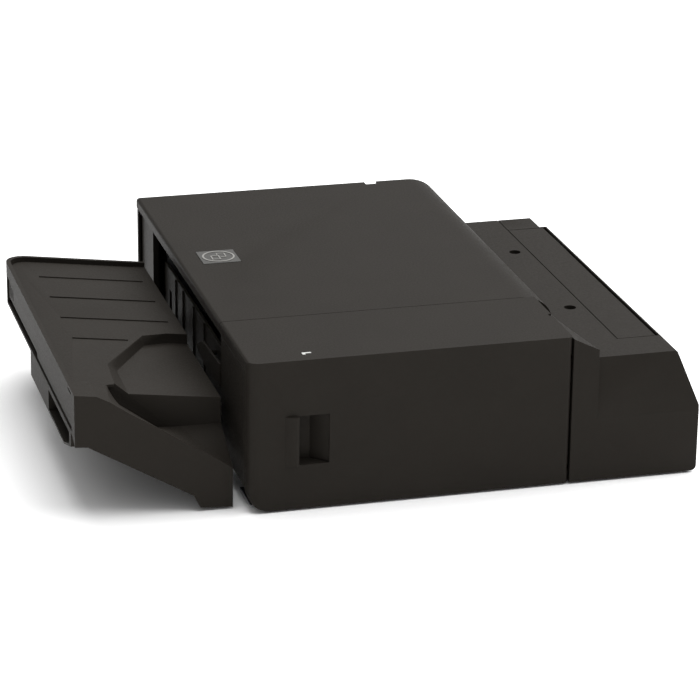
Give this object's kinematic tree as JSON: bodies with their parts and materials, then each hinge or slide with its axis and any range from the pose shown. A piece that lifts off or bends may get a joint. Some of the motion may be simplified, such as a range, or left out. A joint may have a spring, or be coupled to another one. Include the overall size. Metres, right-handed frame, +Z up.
{
  "type": "sheet finisher",
  "caption": "Low in-body finisher for an A3 office printer: entrance bridge, stapling housing with a hinged door, and a sloping output tray that lifts and extends.",
  "frame": {"origin": "on the standing plane, in the middle of the footprint", "axes": "+X to the right, from the output tray to the entrance bridge; +Y to the back, away from the door; +Z up"},
  "size_m": [0.602, 0.521, 0.1508],
  "materials": {
    "housing_plastic": "fine grained",
    "tray_plastic": "fine grained",
    "badge_metal": "satin",
    "lamp_lens": "milky",
    "zinc_sheet": "zinc plated",
    "steel_shaft": "ground",
    "roll_rubber": "ground",
    "belt_rubber": "moulded",
    "light_plastic": "natural",
    "green_plastic": "smooth",
    "dark_plastic": "smooth",
    "motor_steel": "satin",
    "board_green": "solder mask",
    "cable_black": "smooth"
  },
  "bodies": {
    "housing": {"base_plate": "zinc_sheet", "rubber_feet": "roll_rubber", "front_frame": "zinc_sheet", "rear_frame": "zinc_sheet", "cross_stays": "zinc_sheet", "tamper_stay": "zinc_sheet", "frame_screws": "steel_shaft", "shaft_bushings": "light_plastic", "top_cover": "housing_plastic", "badge_plate": "badge_metal", "rear_cover": "housing_plastic", "left_front_cover": "housing_plastic", "exit_fence": "housing_plastic", "exit_guard": "housing_plastic", "right_cover": "housing_plastic", "hinge_pins": "steel_shaft", "door_hinge_brackets": "zinc_sheet", "door_magnet": "dark_plastic", "paper_guides": "zinc_sheet", "compile_plate": "zinc_sheet", "paddle_motor": "motor_steel", "drive_motor": "motor_steel", "timing_belts": "belt_rubber", "control_board": "board_green", "docking_connector": "dark_plastic", "wiring_harness": "cable_black", "tamper_motor": "motor_steel", "stapler_rail": "steel_shaft", "lift_motor": "motor_steel"},
    "door": {"front_door": "housing_plastic", "status_lamp": "lamp_lens"},
    "lid": {"bridge_lid": "housing_plastic"},
    "lid_roller": {"lid_idler": "light_plastic"},
    "entrance_roller": {"entrance_shaft": "steel_shaft", "entrance_rolls": "roll_rubber", "entrance_pulley": "light_plastic"},
    "feed_roller": {"feed_shaft": "steel_shaft", "feed_rolls": "roll_rubber", "feed_pulleys": "light_plastic", "jam_knob": "green_plastic"},
    "feed_idler_roller": {"feed_idler": "light_plastic"},
    "exit_roller": {"exit_shaft": "steel_shaft", "exit_rolls": "roll_rubber", "exit_pulley": "light_plastic"},
    "exit_rocker": {"exit_arm": "zinc_sheet"},
    "exit_idler_roller": {"exit_idler": "light_plastic"},
    "jam_guide_flap": {"jam_guide": "green_plastic"},
    "paddle": {"paddle_shaft": "steel_shaft", "paddle_wheels": "roll_rubber"},
    "motor_armature": {"motor_rotor": "steel_shaft"},
    "tamper_front": {"front_tamper": "light_plastic"},
    "tamper_rear": {"rear_tamper": "light_plastic"},
    "tamper_gear": {"tamper_pinion": "light_plastic"},
    "stapler": {"stapler_body": "dark_plastic"},
    "cartridge": {"staple_cartridge": "green_plastic"},
    "tray": {"tray_deck": "tray_plastic", "tray_base": "tray_plastic", "lift_arms": "zinc_sheet"},
    "extension": {"tray_extension": "tray_plastic"},
    "lift_pinion_shaft": {"lift_shaft": "steel_shaft"}
  },
  "joints": [
    {"name": "door_hinge", "type": "hinge", "parent": "housing", "child": "door", "pos_m": [0.166, -0.2515, 0.07], "axis": [0, 0, 1], "range_deg": [0, 95]},
    {"name": "lid_hinge", "type": "hinge", "parent": "housing", "child": "lid", "pos_m": [0.272, 0.0035, 0.12], "axis": [0, 1, 0], "range_deg": [0, 80]},
    {"name": "lid_roller_spin", "type": "hinge", "parent": "lid", "child": "lid_roller", "pos_m": [0.256, 0.0035, 0.1063], "axis": [0, 1, 0], "continuous": true},
    {"name": "entrance_spin", "type": "hinge", "parent": "housing", "child": "entrance_roller", "pos_m": [0.256, 0.0035, 0.091], "axis": [0, 1, 0], "continuous": true},
    {"name": "feed_spin", "type": "hinge", "parent": "housing", "child": "feed_roller", "pos_m": [0.075, 0.0035, 0.10133], "axis": [0, 1, 0], "continuous": true},
    {"name": "feed_idler_spin", "type": "hinge", "parent": "housing", "child": "feed_idler_roller", "pos_m": [0.075, 0.0035, 0.11863], "axis": [0, 1, 0], "continuous": true},
    {"name": "exit_spin", "type": "hinge", "parent": "housing", "child": "exit_roller", "pos_m": [-0.112, 0.0035, 0.112], "axis": [0, 1, 0], "continuous": true},
    {"name": "exit_rocker_hinge", "type": "hinge", "parent": "housing", "child": "exit_rocker", "pos_m": [-0.06, 0.0035, 0.136], "axis": [0, 1, 0], "range_deg": [0, 9]},
    {"name": "exit_idler_spin", "type": "hinge", "parent": "exit_rocker", "child": "exit_idler_roller", "pos_m": [-0.112, 0.0035, 0.1283], "axis": [0, 1, 0], "continuous": true},
    {"name": "jam_guide_hinge", "type": "hinge", "parent": "housing", "child": "jam_guide_flap", "pos_m": [0.107, 0.0035, 0.124], "axis": [0, -1, 0], "range_deg": [0, 25]},
    {"name": "paddle_spin", "type": "hinge", "parent": "housing", "child": "paddle", "pos_m": [-0.03, 0.0035, 0.122], "axis": [0, 1, 0], "continuous": true},
    {"name": "motor_spin", "type": "hinge", "parent": "housing", "child": "motor_armature", "pos_m": [0.02, 0.0035, 0.05], "axis": [0, 1, 0], "continuous": true},
    {"name": "front_tamper_slide", "type": "slide", "parent": "housing", "child": "tamper_front", "axis": [0, 1, 0], "range_m": [0, 0.028]},
    {"name": "rear_tamper_slide", "type": "slide", "parent": "housing", "child": "tamper_rear", "axis": [0, -1, 0], "range_m": [0, 0.028]},
    {"name": "tamper_pinion_spin", "type": "hinge", "parent": "housing", "child": "tamper_gear", "pos_m": [-0.072, 0.0135, 0.0865], "axis": [0, 0, 1], "range_deg": [-162, 2]},
    {"name": "stapler_slide", "type": "slide", "parent": "housing", "child": "stapler", "axis": [0, 1, 0], "range_m": [0, 0.22]},
    {"name": "cartridge_slide", "type": "slide", "parent": "stapler", "child": "cartridge", "axis": [0, -1, 0], "range_m": [0, 0.07]},
    {"name": "tray_lift", "type": "slide", "parent": "housing", "child": "tray", "axis": [0, 0, 1], "range_m": [0, 0.022]},
    {"name": "extension_slide", "type": "slide", "parent": "tray", "child": "extension", "axis": [-0.9917, 0, 0.1289], "range_m": [0, 0.11]},
    {"name": "lift_shaft_spin", "type": "hinge", "parent": "housing", "child": "lift_pinion_shaft", "pos_m": [-0.102, 0.0035, 0.05], "axis": [0, 1, 0], "range_deg": [-2, 128]}
  ],
  "couplings": [
    {"joint": "motor_spin", "follows": "feed_spin", "ratio": 1.5},
    {"joint": "exit_spin", "follows": "feed_spin", "ratio": 1},
    {"joint": "entrance_spin", "follows": "feed_spin", "ratio": 1},
    {"joint": "rear_tamper_slide", "follows": "front_tamper_slide", "ratio": 1},
    {"joint": "tamper_pinion_spin", "follows": "front_tamper_slide", "rad_per_m": -100},
    {"joint": "lift_shaft_spin", "follows": "tray_lift", "rad_per_m": 100}
  ]
}
